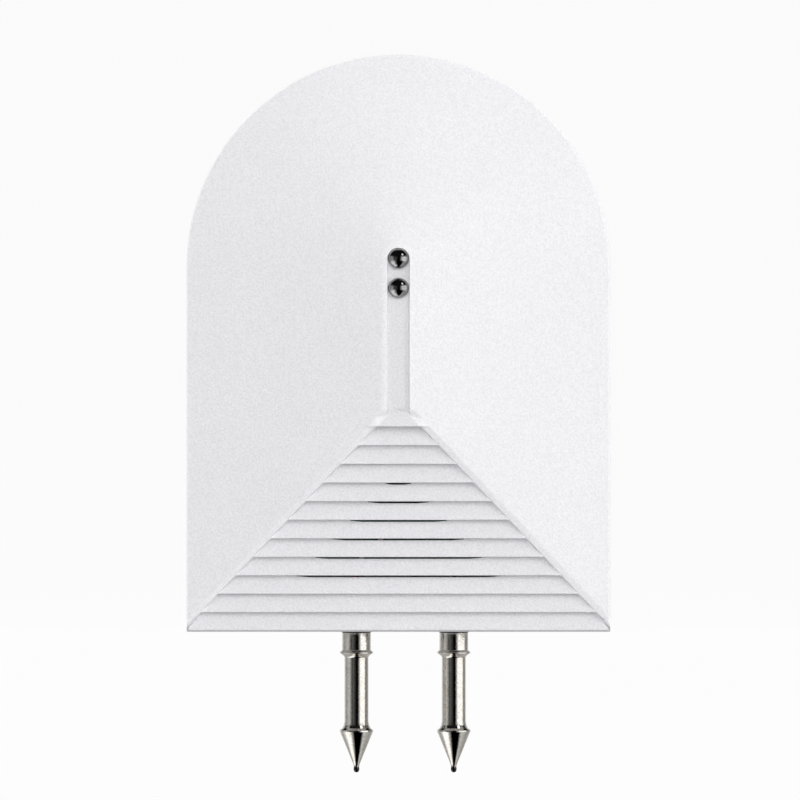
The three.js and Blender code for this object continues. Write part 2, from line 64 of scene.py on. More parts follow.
class Mat:
    """A small builder for one procedural material."""

    def __init__(self, name):
        self.mat = bpy.data.materials.new(name)
        self.mat.use_nodes = True
        self.tree = self.mat.node_tree
        self.tree.nodes.clear()
        self.out = self.add("ShaderNodeOutputMaterial")
        self.bsdf = self.add("ShaderNodeBsdfPrincipled")
        self.link(self.bsdf, "BSDF", self.out, "Surface")
        self.coord = self.add("ShaderNodeTexCoord")
        self.last_normal = None

    def add(self, kind, **props):
        n = self.tree.nodes.new(kind)
        for k, v in props.items():
            setattr(n, k, v)
        return n

    def link(self, a, out, b, inp):
        self.tree.links.new(a.outputs[out], b.inputs[inp])

    def set(self, **values):
        names = {
            "base": "Base Color",
            "metal": "Metallic",
            "rough": "Roughness",
            "ior": "IOR",
            "coat": "Coat Weight",
            "coat_rough": "Coat Roughness",
            "specular": "Specular IOR Level",
            "sss": "Subsurface Weight",
            "sss_scale": "Subsurface Scale",
            "anisotropy": "Anisotropic",
        }
        for k, v in values.items():
            if k == "base" and len(v) == 3:
                v = (*v, 1)
            self.bsdf.inputs[names[k]].default_value = v

    def mapped(self, scale=(1, 1, 1), rotation=(0, 0, 0)):
        m = self.add("ShaderNodeMapping")
        m.inputs["Scale"].default_value = scale
        m.inputs["Rotation"].default_value = rotation
        self.link(self.coord, "Object", m, "Vector")
        return m

    def noise(self, scale, detail=3.0, rough=0.5, mapping=None):
        n = self.add("ShaderNodeTexNoise")
        n.inputs["Scale"].default_value = scale
        n.inputs["Detail"].default_value = detail
        n.inputs["Roughness"].default_value = rough
        if mapping:
            self.link(mapping, "Vector", n, "Vector")
        else:
            self.link(self.coord, "Object", n, "Vector")
        return n

    def ramp(self, source, out, stops):
        r = self.add("ShaderNodeValToRGB")
        e = r.color_ramp.elements
        while len(e) > 1:
            e.remove(e[-1])
        for i, (pos, colour) in enumerate(stops):
            colour = (*colour, 1) if len(colour) == 3 else colour
            if i == 0:
                e[0].position, e[0].color = pos, colour
            else:
                e.new(pos).color = colour
        self.link(source, out, r, "Fac")
        return r

    def spread(self, source, out, low, high, from_low=0.3, from_high=0.7):
        m = self.add("ShaderNodeMapRange")
        for k, v in zip(
            ("From Min", "From Max", "To Min", "To Max"),
            (from_low, from_high, low, high),
        ):
            m.inputs[k].default_value = v
        self.link(source, out, m, "Value")
        return m

    def bump(self, source, out, distance, strength=1.0):
        b = self.add("ShaderNodeBump")
        b.inputs["Distance"].default_value = distance
        b.inputs["Strength"].default_value = strength
        self.link(source, out, b, "Height")
        if self.last_normal:
            self.link(self.last_normal, "Normal", b, "Normal")
        self.last_normal = b
        self.tree.links.new(b.outputs["Normal"], self.bsdf.inputs["Normal"])
        return b

    def edges(self, radius):
        """Softens sharp edges in the shading."""
        b = self.add("ShaderNodeBevel", samples=6)
        b.inputs["Radius"].default_value = radius
        self.last_normal = b
        self.tree.links.new(b.outputs["Normal"], self.bsdf.inputs["Normal"])
        return b


def plastic(name, light, dark, rough=0.5, grain=1.0, edge=None, sss=0.0, painted_shading=False):
    m = Mat(name)
    m.set(specular=0.45, ior=1.5)
    if sss:
        m.set(sss=sss, sss_scale=0.0006)
    if edge:
        m.edges(edge)
    clouds = m.noise(60, 3, 0.55)
    tone = m.ramp(clouds, "Fac", [(0.3, dark), (0.7, light)])
    fine = m.noise(2900, 3, 0.7)
    speck = m.ramp(fine, "Fac", [(0.36, (0.89, 0.885, 0.89)), (0.6, (1, 1, 1))])
    mix = m.add("ShaderNodeMix", data_type="RGBA", blend_type="MULTIPLY")
    mix.inputs["Factor"].default_value = min(1.0, grain)
    m.tree.links.new(tone.outputs["Color"], mix.inputs["A"])
    m.tree.links.new(speck.outputs["Color"], mix.inputs["B"])
    last = mix.outputs["Result"]
    if painted_shading:
        # Painted shade and painted highlight from the tone attribute: the louvres and the groove floor darker, the
        # hip strips and the groove's lips lighter.
        painted_light_level = m.add("ShaderNodeAttribute")
        painted_light_level.attribute_name = "tone"
        over = m.add("ShaderNodeVectorMath", operation="SCALE")
        m.tree.links.new(last, over.inputs[0])
        m.link(painted_light_level, "Fac", over, "Scale")
        last = over.outputs["Vector"]
    m.tree.links.new(last, m.bsdf.inputs["Base Color"])
    m.link(m.spread(fine, "Fac", rough - 0.06, rough + 0.08), "Result", m.bsdf, "Roughness")
    spark = m.add("ShaderNodeTexVoronoi")
    spark.inputs["Scale"].default_value = 3400
    m.link(m.coord, "Object", spark, "Vector")
    m.bump(spark, "Distance", 0.00004 * grain, 0.7)
    m.bump(fine, "Fac", 0.0001 * grain, 0.7)
    m.bump(m.noise(420, 2, 0.5), "Fac", 0.00004 * grain, 0.3)
    return m


def metal(name, colour, dark, rough, turned=0.0, brushed=0.0, edge=None, pitted=0.0, pit_depth=0.0):
    m = Mat(name)
    m.set(metal=1.0)
    if edge:
        m.edges(edge)
    cloud = m.noise(700, 4, 0.6)
    tone = m.ramp(cloud, "Fac", [(0.25, dark), (0.6, colour)])
    if pitted:
        pits = m.noise(2600, 2, 0.6)
        low = 1 - pitted
        speck = m.ramp(pits, "Fac", [(0.36, (low, low * 0.985, low * 0.96)), (0.58, (1, 1, 1))])
        mix = m.add("ShaderNodeMix", data_type="RGBA", blend_type="MULTIPLY")
        mix.inputs["Factor"].default_value = 1.0
        m.tree.links.new(tone.outputs["Color"], mix.inputs["A"])
        m.tree.links.new(speck.outputs["Color"], mix.inputs["B"])
        m.tree.links.new(mix.outputs["Result"], m.bsdf.inputs["Base Color"])
        m.bump(pits, "Fac", pit_depth, 0.8)
    else:
        m.link(tone, "Color", m.bsdf, "Base Color")
    wear = m.noise(1500, 5, 0.65)
    m.link(m.spread(wear, "Fac", rough * 0.75, rough * 1.5), "Result", m.bsdf, "Roughness")
    if turned:
        rings = m.noise(9000, 2, 0.5, m.mapped((0.02, 0.02, 1)))
        m.bump(rings, "Fac", 0.000012, turned)
    if brushed:
        lines = m.noise(6000, 2, 0.5, m.mapped((1, 0.03, 0.03)))
        m.bump(lines, "Fac", 0.00001, brushed)
    m.bump(m.noise(2400, 3, 0.6), "Fac", 0.000006, 0.4)
    return m


white_shell = plastic("shell_white", (0.85, 0.846, 0.866), (0.834, 0.83, 0.852), 0.5, 1.0)
# The front cover's colour takes painted shade and painted highlight from its tone attribute.
white_cover = plastic("shell_white_front", (0.85, 0.846, 0.866), (0.834, 0.83, 0.852), 0.5, 1.0, painted_shading=True)
white_rear = plastic("rear_white", (0.84, 0.836, 0.854), (0.82, 0.816, 0.836), 0.52, 1.0, edge=0.00022)
nickel = metal("probe_nickel", (0.76, 0.735, 0.69), (0.66, 0.63, 0.58), 0.075, turned=0.35, pitted=0.2, pit_depth=0.000016)
# The blunt ends of the probes are blackened.
_sep = nickel.add("ShaderNodeSeparateXYZ")
nickel.link(nickel.coord, "Object", _sep, "Vector")
_dark = nickel.spread(_sep, "Z", 0.06, 1.0, -22.9 * MM, -22.45 * MM)
_over = nickel.add("ShaderNodeVectorMath", operation="SCALE")
nickel.tree.links.new(nickel.bsdf.inputs["Base Color"].links[0].from_socket, _over.inputs[0])
nickel.link(_dark, "Result", _over, "Scale")
nickel.tree.links.new(_over.outputs["Vector"], nickel.bsdf.inputs["Base Color"])
dome_metal = metal("contact_nickel", (0.42, 0.42, 0.42), (0.3, 0.3, 0.3), 0.05, pitted=0.3, pit_depth=0.000005)
screw_metal = metal("screw_zinc", (0.62, 0.63, 0.65), (0.47, 0.48, 0.5), 0.26, turned=0.4, edge=0.00008)
spring_metal = metal("spring_plate", (0.68, 0.68, 0.68), (0.55, 0.55, 0.55), 0.22, brushed=0.4)
tinned = metal("tinned_plate", (0.76, 0.76, 0.75), (0.62, 0.62, 0.61), 0.3, brushed=0.3, edge=0.0001)
can_metal = metal("shield_tin", (0.74, 0.745, 0.75), (0.62, 0.63, 0.64), 0.27, brushed=0.5, edge=0.00015)
copper = metal("antenna_copper", (0.78, 0.42, 0.24), (0.6, 0.3, 0.16), 0.25)

seal_rubber = Mat("seal_rubber")
seal_rubber.set(specular=0.35)
_n = seal_rubber.noise(1800, 4, 0.6)
seal_rubber.link(seal_rubber.ramp(_n, "Fac", [(0.3, (0.022, 0.022, 0.024)), (0.7, (0.04, 0.04, 0.043))]), "Color", seal_rubber.bsdf, "Base Color")
seal_rubber.link(seal_rubber.spread(_n, "Fac", 0.55, 0.75), "Result", seal_rubber.bsdf, "Roughness")
seal_rubber.bump(_n, "Fac", 0.00002, 0.5)


def jacket(name, light, dark):
    m = Mat(name)
    m.set(specular=0.5)
    n = m.noise(900, 3, 0.5)
    m.link(m.ramp(n, "Fac", [(0.3, dark), (0.7, light)]), "Color", m.bsdf, "Base Color")
    m.link(m.spread(n, "Fac", 0.36, 0.52), "Result", m.bsdf, "Roughness")
    m.bump(n, "Fac", 0.00002, 0.3)
    return m


wire_red = jacket("wire_jacket_red", (0.5, 0.03, 0.025), (0.38, 0.02, 0.018))
wire_black = jacket("wire_jacket_black", (0.035, 0.035, 0.038), (0.02, 0.02, 0.022))
black_plastic = plastic("moulded_black", (0.03, 0.03, 0.032), (0.018, 0.018, 0.02), 0.5, 1.0, edge=0.00012)
button_plastic = plastic("button_grey", (0.4, 0.41, 0.42), (0.37, 0.38, 0.39), 0.5, 1.0, edge=0.0002)


def board_material(name, mask, under, pads):
    m = Mat(name)
    m.set(specular=0.5, coat=0.3, coat_rough=0.2)
    weave = m.add("ShaderNodeTexBrick", offset=0.5)
    weave.inputs["Scale"].default_value = 160
    weave.inputs["Mortar Size"].default_value = 0.045
    weave.inputs["Color1"].default_value = (*mask, 1)
    weave.inputs["Color2"].default_value = (*mask, 1)
    weave.inputs["Mortar"].default_value = (*under, 1)
    m.link(m.mapped((1, 1, 1), (math.pi / 2, 0, 0)), "Vector", weave, "Vector")
    cell = m.add("ShaderNodeTexVoronoi", feature="F1")
    cell.inputs["Scale"].default_value = 260
    m.link(m.coord, "Object", cell, "Vector")
    spots = m.ramp(cell, "Distance", [(0.0, (1, 1, 1)), (0.1, (1, 1, 1)), (0.13, (0, 0, 0))])
    mix = m.add("ShaderNodeMix", data_type="RGBA")
    m.tree.links.new(spots.outputs["Color"], mix.inputs["Factor"])
    m.tree.links.new(weave.outputs["Color"], mix.inputs["A"])
    mix.inputs["B"].default_value = (*pads, 1)
    m.tree.links.new(mix.outputs["Result"], m.bsdf.inputs["Base Color"])
    n = m.noise(1200, 3, 0.5)
    m.link(m.spread(n, "Fac", 0.28, 0.42), "Result", m.bsdf, "Roughness")
    m.bump(weave, "Fac", 0.00003, 0.4)
    return m


board_green = board_material("board_green", (0.012, 0.11, 0.045), (0.02, 0.16, 0.07), (0.55, 0.56, 0.55))
board_blue = board_material("board_blue", (0.012, 0.05, 0.14), (0.02, 0.075, 0.2), (0.6, 0.5, 0.28))


def cell_material(name, z_low, z_high, split, lower, upper):
    """A battery's printed sleeve: two plain colour fields with a thin bright line between, along Z."""
    m = Mat(name)
    m.set(coat=0.5, coat_rough=0.15, specular=0.5)
    sep = m.add("ShaderNodeSeparateXYZ")
    m.link(m.coord, "Object", sep, "Vector")
    t = m.add("ShaderNodeMapRange")
    t.inputs["From Min"].default_value = z_low * MM
    t.inputs["From Max"].default_value = z_high * MM
    m.link(sep, "Z", t, "Value")
    line = (0.62, 0.62, 0.6)
    r = m.ramp(t, "Result", [
        (0.0, lower), (split - 0.012, lower), (split - 0.008, line), (split + 0.008, line), (split + 0.012, upper), (1.0, upper)])
    r.color_ramp.interpolation = "LINEAR"
    speck = m.noise(2200, 3, 0.6)
    mix = m.add("ShaderNodeMix", data_type="RGBA", blend_type="MULTIPLY")
    mix.inputs["Factor"].default_value = 1.0
    tone = m.ramp(speck, "Fac", [(0.3, (0.9, 0.9, 0.9)), (0.7, (1, 1, 1))])
    m.tree.links.new(r.outputs["Color"], mix.inputs["A"])
    m.tree.links.new(tone.outputs["Color"], mix.inputs["B"])
    m.tree.links.new(mix.outputs["Result"], m.bsdf.inputs["Base Color"])
    m.link(m.spread(speck, "Fac", 0.26, 0.4), "Result", m.bsdf, "Roughness")
    m.bump(m.noise(500, 2, 0.5), "Fac", 0.00004, 0.2)
    return m


# ------------------------------------------------------------------ mesh helpers


def new_piece(name, verts_mm, faces, material, smooth=True):
    mesh = bpy.data.meshes.new(name)
    mesh.from_pydata([tuple(c * MM for c in v) for v in verts_mm], [], faces)
    mesh.validate()
    mesh.update()
    mesh.polygons.foreach_set("use_smooth", [smooth] * len(mesh.polygons))
    mesh.materials.append(material.mat)
    obj = bpy.data.objects.new(name, mesh)
    bpy.context.scene.collection.objects.link(obj)
    return obj


def rounded(profile, radii, steps=5):
    """Rounds the corners of a profile polyline; radii is {index: radius}."""
    out = []
    n = len(profile)
    for i, p in enumerate(profile):
        r = radii.get(i, 0)
        if r <= 0 or i in (0, n - 1):
            out.append(tuple(p))
            continue
        p0, p1, p2 = (np.array(q, float) for q in (profile[i - 1], p, profile[i + 1]))
        a, b = p0 - p1, p2 - p1
        la, lb = np.linalg.norm(a), np.linalg.norm(b)
        a, b = a / la, b / lb
        cosine = float(np.clip(a @ b, -1, 1))
        half = math.acos(cosine) / 2
        if half > math.pi / 2 - 1e-3:
            out.append(tuple(p))
            continue
        reach = min(r / math.tan(half), 0.48 * la, 0.48 * lb)
        start, end = p1 + a * reach, p1 + b * reach
        for s in range(steps + 1):
            t = s / steps
            q = (1 - t) ** 2 * start + 2 * t * (1 - t) * p1 + t**2 * end
            out.append(tuple(q))
    return out


def lathe(name, profile, place, axis, material, sides=96):
    """Turns a profile of (radius, height) about an axis along Z or Y through place (two coordinates)."""
    verts, faces = [], []
    rows = []
    for r, h in profile:
        if r < 1e-6:
            rows.append([len(verts)])
            ring = [(0.0, 0.0)]
        else:
            rows.append(list(range(len(verts), len(verts) + sides)))
            ring = [(r * math.cos(2 * math.pi * i / sides), r * math.sin(2 * math.pi * i / sides)) for i in range(sides)]
        for u, v in ring:
            if axis == "z":
                verts.append((place[0] + u, place[1] + v, h))
            else:
                verts.append((place[0] + u, h, place[1] + v))
    for a, b in zip(rows, rows[1:]):
        for i in range(sides):
            j = (i + 1) % sides
            if len(a) == 1 and len(b) == 1:
                continue
            if len(a) == 1:
                faces.append((a[0], b[j], b[i]))
            elif len(b) == 1:
                faces.append((a[i], a[j], b[0]))
            else:
                faces.append((a[i], a[j], b[j], b[i]))
    obj = new_piece(name, verts, faces, material)
    bm = bmesh.new()
    bm.from_mesh(obj.data)
    bmesh.ops.recalc_face_normals(bm, faces=bm.faces)
    bm.to_mesh(obj.data)
    bm.free()
    return obj


# ------------------------------------------------------------------ front cover


def smax(a, b, k):
    h = np.maximum(k - np.abs(a - b), 0) / k
    return np.maximum(a, b) + h * h * k * 0.25


def smin(a, b, k):
    return -smax(-a, -b, k)


def hip_x(z):
    return 36.18 - z / 1.062


def roof(r):
    # Depth of the roof, r mm out from the crest's centre.
    return Y_RIDGE + SLOPE * (r - CREST) - SAG * (r - CREST) ** 2


def roof_line(z):
    return roof(hip_x(z) + 1.0) - 0.22


def outline_distance(x, z):
    """How far a point lies inside the housing's outline."""
    r = np.where(z > ARCH_Z, np.hypot(x, z - ARCH_Z), np.abs(x))
    return np.minimum(HALF_W - r, z)


def board_depth(z):
    """Depth of the stepped boards at a height."""
    k = np.floor((LINE_TOP_Z - z) / PITCH)
    k = np.clip(k, -1, LINES - 1)
    top = LINE_TOP_Z - PITCH * k
    t = top - z
    s = np.clip(t / PITCH, 0, 1)
    y_top = roof_line(top) + LIP + STEP
    y_low = roof_line(top - PITCH) + LIP
    y = y_top + (y_low - y_top) * s + HOLLOW * np.sin(math.pi * s) * (0.35 + 0.65 * s) * 1.25
    nose = 0.16
    near = np.clip(t - (PITCH - nose), 0, nose)
    y = y + nose - np.sqrt(np.maximum(nose**2 - near**2, 0))
    # The face of the step above: from the nose of the board above to this board's top.
    face = 0.03
    y_nose = roof_line(top) + LIP + nose
    y = np.where((t < face) & (k >= 0), y_nose + (y_top - y_nose) * np.clip(t / face, 0, 1), y)
    first = np.full_like(z, GROOVE_Y)
    near0 = np.clip((LINE_TOP_Z + nose) - z, 0, nose)
    first = first + nose - np.sqrt(np.maximum(nose**2 - near0**2, 0))
    return np.where(z >= LINE_TOP_Z, first, y)


def cover_front(x, z):
    """Depth (y) of the cover's front surface."""
    x, z = np.asarray(x, float), np.asarray(z, float)
    r = np.where(z > ARCH_Z, np.hypot(x, z - ARCH_Z), np.abs(x))
    base = smax(np.full_like(r, Y_RIDGE), roof(r - 0.2), 0.3)
    # Louvre recess between the hips, inside a flat strip.
    edge, inner = hip_x(z) + STRIP[1], hip_x(z) + STRIP[0]
    wall = roof(np.minimum(edge, HALF_W)) + 0.12 * (edge - np.abs(x)) + 3.0 * np.maximum(inner - np.abs(x), 0)
    wall = np.where(edge < 1.0, -60.0, wall)
    recess = smin(board_depth(z), wall, 0.12)
    # Contact groove.
    d = np.where(z > CONTACT_Z[0], np.hypot(x, z - CONTACT_Z[0]), np.abs(x))
    groove = smin(np.full_like(d, GROOVE_Y), Y_RIDGE + 8.0 * (GROOVE + 0.03 - d), 0.06)
    groove = np.where(z < LINE_TOP_Z - 0.5, -60.0, groove)
    y = smax(base, recess, 0.16)
    y = smax(y, groove, 0.12)
    # Rounded edge where the roof meets the side walls.
    edge_r = 0.55
    inside = np.clip(outline_distance(x, z), 0, edge_r)
    return y + edge_r - np.sqrt(np.maximum(edge_r**2 - (edge_r - inside) ** 2, 0))


def cover_back(x, z):
    """Depth of the cover's inner surface."""
    r = np.where(z > ARCH_Z, np.hypot(x, z - ARCH_Z), np.abs(x))
    base = np.maximum(roof(r) + 2.1, -18.4)
    low = roof_line(z) + 0.25 + 1.6 + 0.9
    return np.minimum(np.maximum(base, low), Y_PART - 0.4)


def outline(inset, step=0.6):
    """The housing's outline taken in by inset, from the lower right corner round."""
    r = HALF_W - inset
    pts = []
    n = int((ARCH_Z - inset) / step)
    pts += [(r, inset + (ARCH_Z - inset) * i / n) for i in range(n)]
    n = int(math.pi * r / step)
    pts += [(r * math.cos(math.pi * i / n), ARCH_Z + r * math.sin(math.pi * i / n)) for i in range(n)]
    n = int((ARCH_Z - inset) / step)
    pts += [(-r, ARCH_Z - (ARCH_Z - inset) * i / n) for i in range(n)]
    n = int(2 * r / step)
    pts += [(-r + 2 * r * i / n, inset) for i in range(n)]
    return pts


def slot_boxes():
    out = []
    for k in SLOTTED:
        z = LINE_TOP_Z - PITCH * k
        half = hip_x(z) - 10.75
        out.append((half, z - SLOT_H, z - 0.03))
    return out


def cover_painted_light(x, z):
    # Painted shade and painted highlight: louvres (0.915) and groove floor (0.885) darker, hip strips (1.07) and
    # groove lips (about 1.05) lighter.
    u = np.abs(x) - hip_x(z)
    tone = np.interp(u, [STRIP[0] - 0.5, STRIP[0] - 0.15, STRIP[1] - 0.1, STRIP[1] + 0.15], [0.915, 1.07, 1.07, 1.0])
    tone = np.where(z > 36.9, 1.0, tone)
    d = np.where(z > CONTACT_Z[0], np.hypot(x, z - CONTACT_Z[0]), np.abs(x))
    slot = np.interp(d, [GROOVE - 0.2, GROOVE + 0.05, GROOVE + 0.5, GROOVE + 1.0], [0.885, 1.05, 1.04, 1.0])
    return np.where(z > 35.6, slot, tone)


def slot_low(x, half, z0, z1):
    # Lower edge of a slot, which thins out towards its ends.
    k = np.clip((half - np.abs(x)) / min(2.0, half * 0.35), 0, 1)
    return z1 - (z1 - z0) * (0.45 + 0.55 * k)


class Plan:
    """Points and constraint lines in the front view."""

    def __init__(self):
        self.points, self.lines = [], []

    def loop(self, pts):
        n0 = len(self.points)
        self.points += pts
        self.lines += [(n0 + i, n0 + (i + 1) % len(pts)) for i in range(len(pts))]
        return list(range(n0, n0 + len(pts)))

    def chain(self, pts):
        if len(pts) < 2:
            return
        n0 = len(self.points)
        self.points += pts
        self.lines += [(n0 + i, n0 + i + 1) for i in range(len(pts) - 1)]

    def mesh(self, inside):
        out = delaunay_2d_cdt([Vector(p) for p in self.points], self.lines, [], 0, 1e-5)
        pts = np.array([tuple(v) for v in out[0]])
        tris = np.array([f for f in out[2] if len(f) == 3], int)
        centre = pts[tris].mean(1)
        tris = tris[inside(centre[:, 0], centre[:, 1])]
        where = {}
        for new, olds in enumerate(out[3]):
            for o in olds:
                where[o] = new
        return pts, tris, where


def in_slots(x, z):
    hit = np.zeros(x.shape, bool)
    for half, z0, z1 in slot_boxes():
        hit |= (np.abs(x) < half) & (z > slot_low(x, half, z0, z1)) & (z < z1)
    return hit


def slot_loops(step=1.0):
    loops = []
    for half, z0, z1 in slot_boxes():
        n = max(2, int(2 * half / step))
        lower = [(-half + 2 * half * i / n) for i in range(n + 1)]
        lower = [(x, float(slot_low(np.array(x), half, z0, z1))) for x in lower]
        upper = [(half - 2 * half * i / n, z1) for i in range(n + 1)]
        loops.append(lower + upper)
    return loops


def frange(a, b, step):
    n = max(1, int(round(abs(b - a) / step)))
    return [a + (b - a) * i / n for i in range(n + 1)]


def build_cover():
    plan = Plan()
    rim = plan.loop(outline(0.0))
    for inset in (0.012, 0.05, 0.11, 0.2, 0.32, 0.46, 0.56, 0.8, 1.3):
        plan.loop([p for p in outline(inset)])
    holes = [plan.loop(l) for l in slot_loops()]
    # Boards: rows along each line.
    rows = (1.1, 0.6, 0.3, 0.16, 0.12, 0.07, 0.03, 0.008, 0.0, -0.03, -0.08, -0.2, -0.5, -0.8, -1.15, -1.5)
    for k in range(LINES):
        z0 = LINE_TOP_Z - PITCH * k
        for dz in rows:
            z = z0 + dz
            if z < 0.6:
                continue
            reach = min(hip_x(z) + 1.15, HALF_W - 0.6)
            xs = frange(-reach, reach, 1.4)
            if any(abs(z - e) < 1e-9 for half, a, b in slot_boxes() for e in (a, b)):
                half = [h for h, a, b in slot_boxes() if abs(z - a) < 1e-9 or abs(z - b) < 1e-9][0]
                xs = [x for x in xs if abs(x) > half + 0.05]
                left = [x for x in xs if x < 0]
                right = [x for x in xs if x > 0]
                plan.chain([(x, z) for x in left])
                plan.chain([(x, z) for x in right])
                continue
            inner = [h for h, a, b in slot_boxes() if a < z < b]
            if inner:
                left = [x for x in xs if x < -inner[0] - 0.05]
                right = [x for x in xs if x > inner[0] + 0.05]
                plan.chain([(x, z) for x in left])
                plan.chain([(x, z) for x in right])
            else:
                plan.chain([(x, z) for x in xs])
    # Hips: lines beside the crest of each hip.
    for side in (-1, 1):
        for off in (1.3, 1.0, 0.86, 0.79, 0.75, 0.71, 0.65, 0.5, 0.2, -0.1, -0.3, -0.36, -0.4, -0.44, -0.5, -0.62, -0.8, -1.05):
            pts = []
            for z in frange(1.6, 38.0, 0.35):
                x = hip_x(z) + off
                if x < 1.2 or x > HALF_W - 1.35:
                    continue
                pts.append((side * x, z))
            plan.chain(pts)
    # Groove: lines along its edges, closed by the arc at the top.
    for off in (-0.35, -0.16, -0.08, -0.02, 0.03, 0.08, 0.14, 0.22, 0.34, 0.5, 0.8, 1.2, 1.7):
        g = GROOVE + off
        pts = [(-g, z) for z in frange(36.9, CONTACT_Z[0], 0.7)]
        pts += [(-g * math.cos(a), CONTACT_Z[0] + g * math.sin(a)) for a in frange(0.08, math.pi - 0.08, 0.09)]
        pts += [(g, z) for z in frange(CONTACT_Z[0], 36.9, 0.7)]
        plan.chain(pts)
    # Cone and plain faces.
    for r in frange(5.0, 33.5, 1.9):
        plan.chain([(r * math.cos(a), ARCH_Z + r * math.sin(a)) for a in frange(0, math.pi, 0.035)])
    for x in frange(4.0, 33.4, 1.9):
        for side in (-1, 1):
            low = max(1.6, (36.18 + 1.7 - x) * 1.062)
            plan.chain([(side * x, z) for z in frange(low, ARCH_Z - 0.4, 1.6)])
    pts, tris, where = plan.mesh(
        lambda x, z: (outline_distance(x, z) > 0) & ~in_slots(x, z)
    )
    x, z = pts[:, 0], pts[:, 1]
    y = cover_front(x, z)
    eps = 0.006
    inner_x = np.clip(x, -HALF_W + 0.02, HALF_W - 0.02)
    inner_z = np.maximum(z, 0.02)
    gx = (cover_front(inner_x + eps, inner_z) - cover_front(inner_x - eps, inner_z)) / (2 * eps)
    gz = (cover_front(inner_x, inner_z + eps) - cover_front(inner_x, inner_z - eps)) / (2 * eps)
    normals = np.stack([gx, -np.ones_like(gx), gz], 1)
    normals /= np.linalg.norm(normals, axis=1)[:, None]
    verts = [(a, b, c) for a, b, c in zip(x, y, z)]
    faces = []
    for t in tris:
        a, b, c = (np.array(verts[i]) for i in t)
        up = np.cross(b - a, c - a)
        faces.append(tuple(t) if up[1] < 0 else tuple(t[::-1]))
    fixed = {i: tuple(n) for i, n in enumerate(normals)}
    front_faces = len(faces)

    # Side wall, down to a small break at the parting line, and the rim behind it.
    rim_ids = [where[i] for i in rim]
    rim_pts = [pts[i] for i in rim_ids]
    count = len(rim_ids)

    def rim_normal(i):
        px, pz = rim_pts[i]
        if pz > ARCH_Z:
            d = math.hypot(px, pz - ARCH_Z)
            return px / d, (pz - ARCH_Z) / d
        if abs(abs(px) - HALF_W) < 1e-6 and pz > 1e-6:
            return (1.0 if px > 0 else -1.0), 0.0
        if pz < 1e-6 and abs(px) < HALF_W - 1e-6:
            return 0.0, -1.0
        return (0.7071 if px > 0 else -0.7071), -0.7071

    def ring_at(inset, depth):
        n0 = len(verts)
        for i in range(count):
            nx, nz = rim_normal(i)
            k = 1.4142 if (abs(nx) > 0.7 and abs(nz) > 0.7 and rim_pts[i][1] < 1e-6) else 1.0
            verts.append((rim_pts[i][0] - nx * inset * k, depth, rim_pts[i][1] - nz * inset * k))
        return list(range(n0, n0 + count))

    def band(a, b):
        for i in range(count):
            j = (i + 1) % count
            faces.append((a[i], b[i], b[j], a[j]))

    rings = [rim_ids]
    for inset, depth in ((0.0, -6.4), (0.0, -5.35), (0.0, -5.2), (0.06, -5.08), (0.18, -5.0), (1.98, -5.0), (2.0, -5.06)):
        rings.append(ring_at(inset, depth))
    for a, b in zip(rings, rings[1:]):
        band(a, b)

    # Inner skin.
    back = Plan()
    inner_loop = back.loop([(verts[i][0], verts[i][2]) for i in rings[-1]])
    back_holes = [back.loop(l) for l in slot_loops()]
    for zz in frange(4.0, 92.0, 2.6):
        r = 32.4 if zz <= ARCH_Z else math.sqrt(max(0.0, 32.4**2 - (zz - ARCH_Z) ** 2))
        if r > 2 and not any(a - 0.1 < zz < b + 0.1 for h, a, b in slot_boxes()):
            back.points += [(xx, zz) for xx in frange(-r, r, 2.6)]
    bpts, btris, bwhere = back.mesh(
        lambda x, z: (outline_distance(x, z) > 2.0) & ~in_slots(x, z)
    )
    n0 = len(verts)
    bdist = outline_distance(bpts[:, 0], bpts[:, 1])
    by = np.where(bdist < 2.03, -5.06, cover_back(bpts[:, 0], bpts[:, 1]))
    verts += [(a, b, c) for a, b, c in zip(bpts[:, 0], by, bpts[:, 1])]
    for t in btris:
        t = [n0 + int(i) for i in t]
        a, b, c = (np.array(verts[i]) for i in t)
        up = np.cross(b - a, c - a)
        faces.append(tuple(t) if up[1] > 0 else tuple(t[::-1]))
    last = rings[-1]
    nxt = [n0 + bwhere[i] for i in inner_loop]
    for i in range(count):
        j = (i + 1) % count
        if last[i] != nxt[i]:
            faces.append((last[i], nxt[i], nxt[j], last[j]))
    # Walls of the slots.
    for loop, other in zip(holes, back_holes):
        a = [where[i] for i in loop]
        b = [n0 + bwhere[i] for i in other]
        for i in range(len(a)):
            j = (i + 1) % len(a)
            faces.append((a[j], b[j], b[i], a[i]))

    obj = new_piece("front_cover_shell", verts, faces, white_cover)
    # The tone attribute holds painted shade and painted highlight, on the front surface only.
    tone = obj.data.attributes.new("tone", "FLOAT", "POINT")
    at = np.array([v.co for v in obj.data.vertices]) / MM
    values = cover_painted_light(at[:, 0], at[:, 2])
    values = np.where(at[:, 1] < cover_front(at[:, 0], at[:, 2]) + 0.05, values, 1.0)
    tone.data.foreach_set("value", [float(v) for v in values])
    bm = bmesh.new()
    bm.from_mesh(obj.data)
    bmesh.ops.remove_doubles(bm, verts=bm.verts, dist=1e-9)
    bmesh.ops.recalc_face_normals(bm, faces=bm.faces)
    bm.to_mesh(obj.data)
    bm.free()
    mesh = obj.data
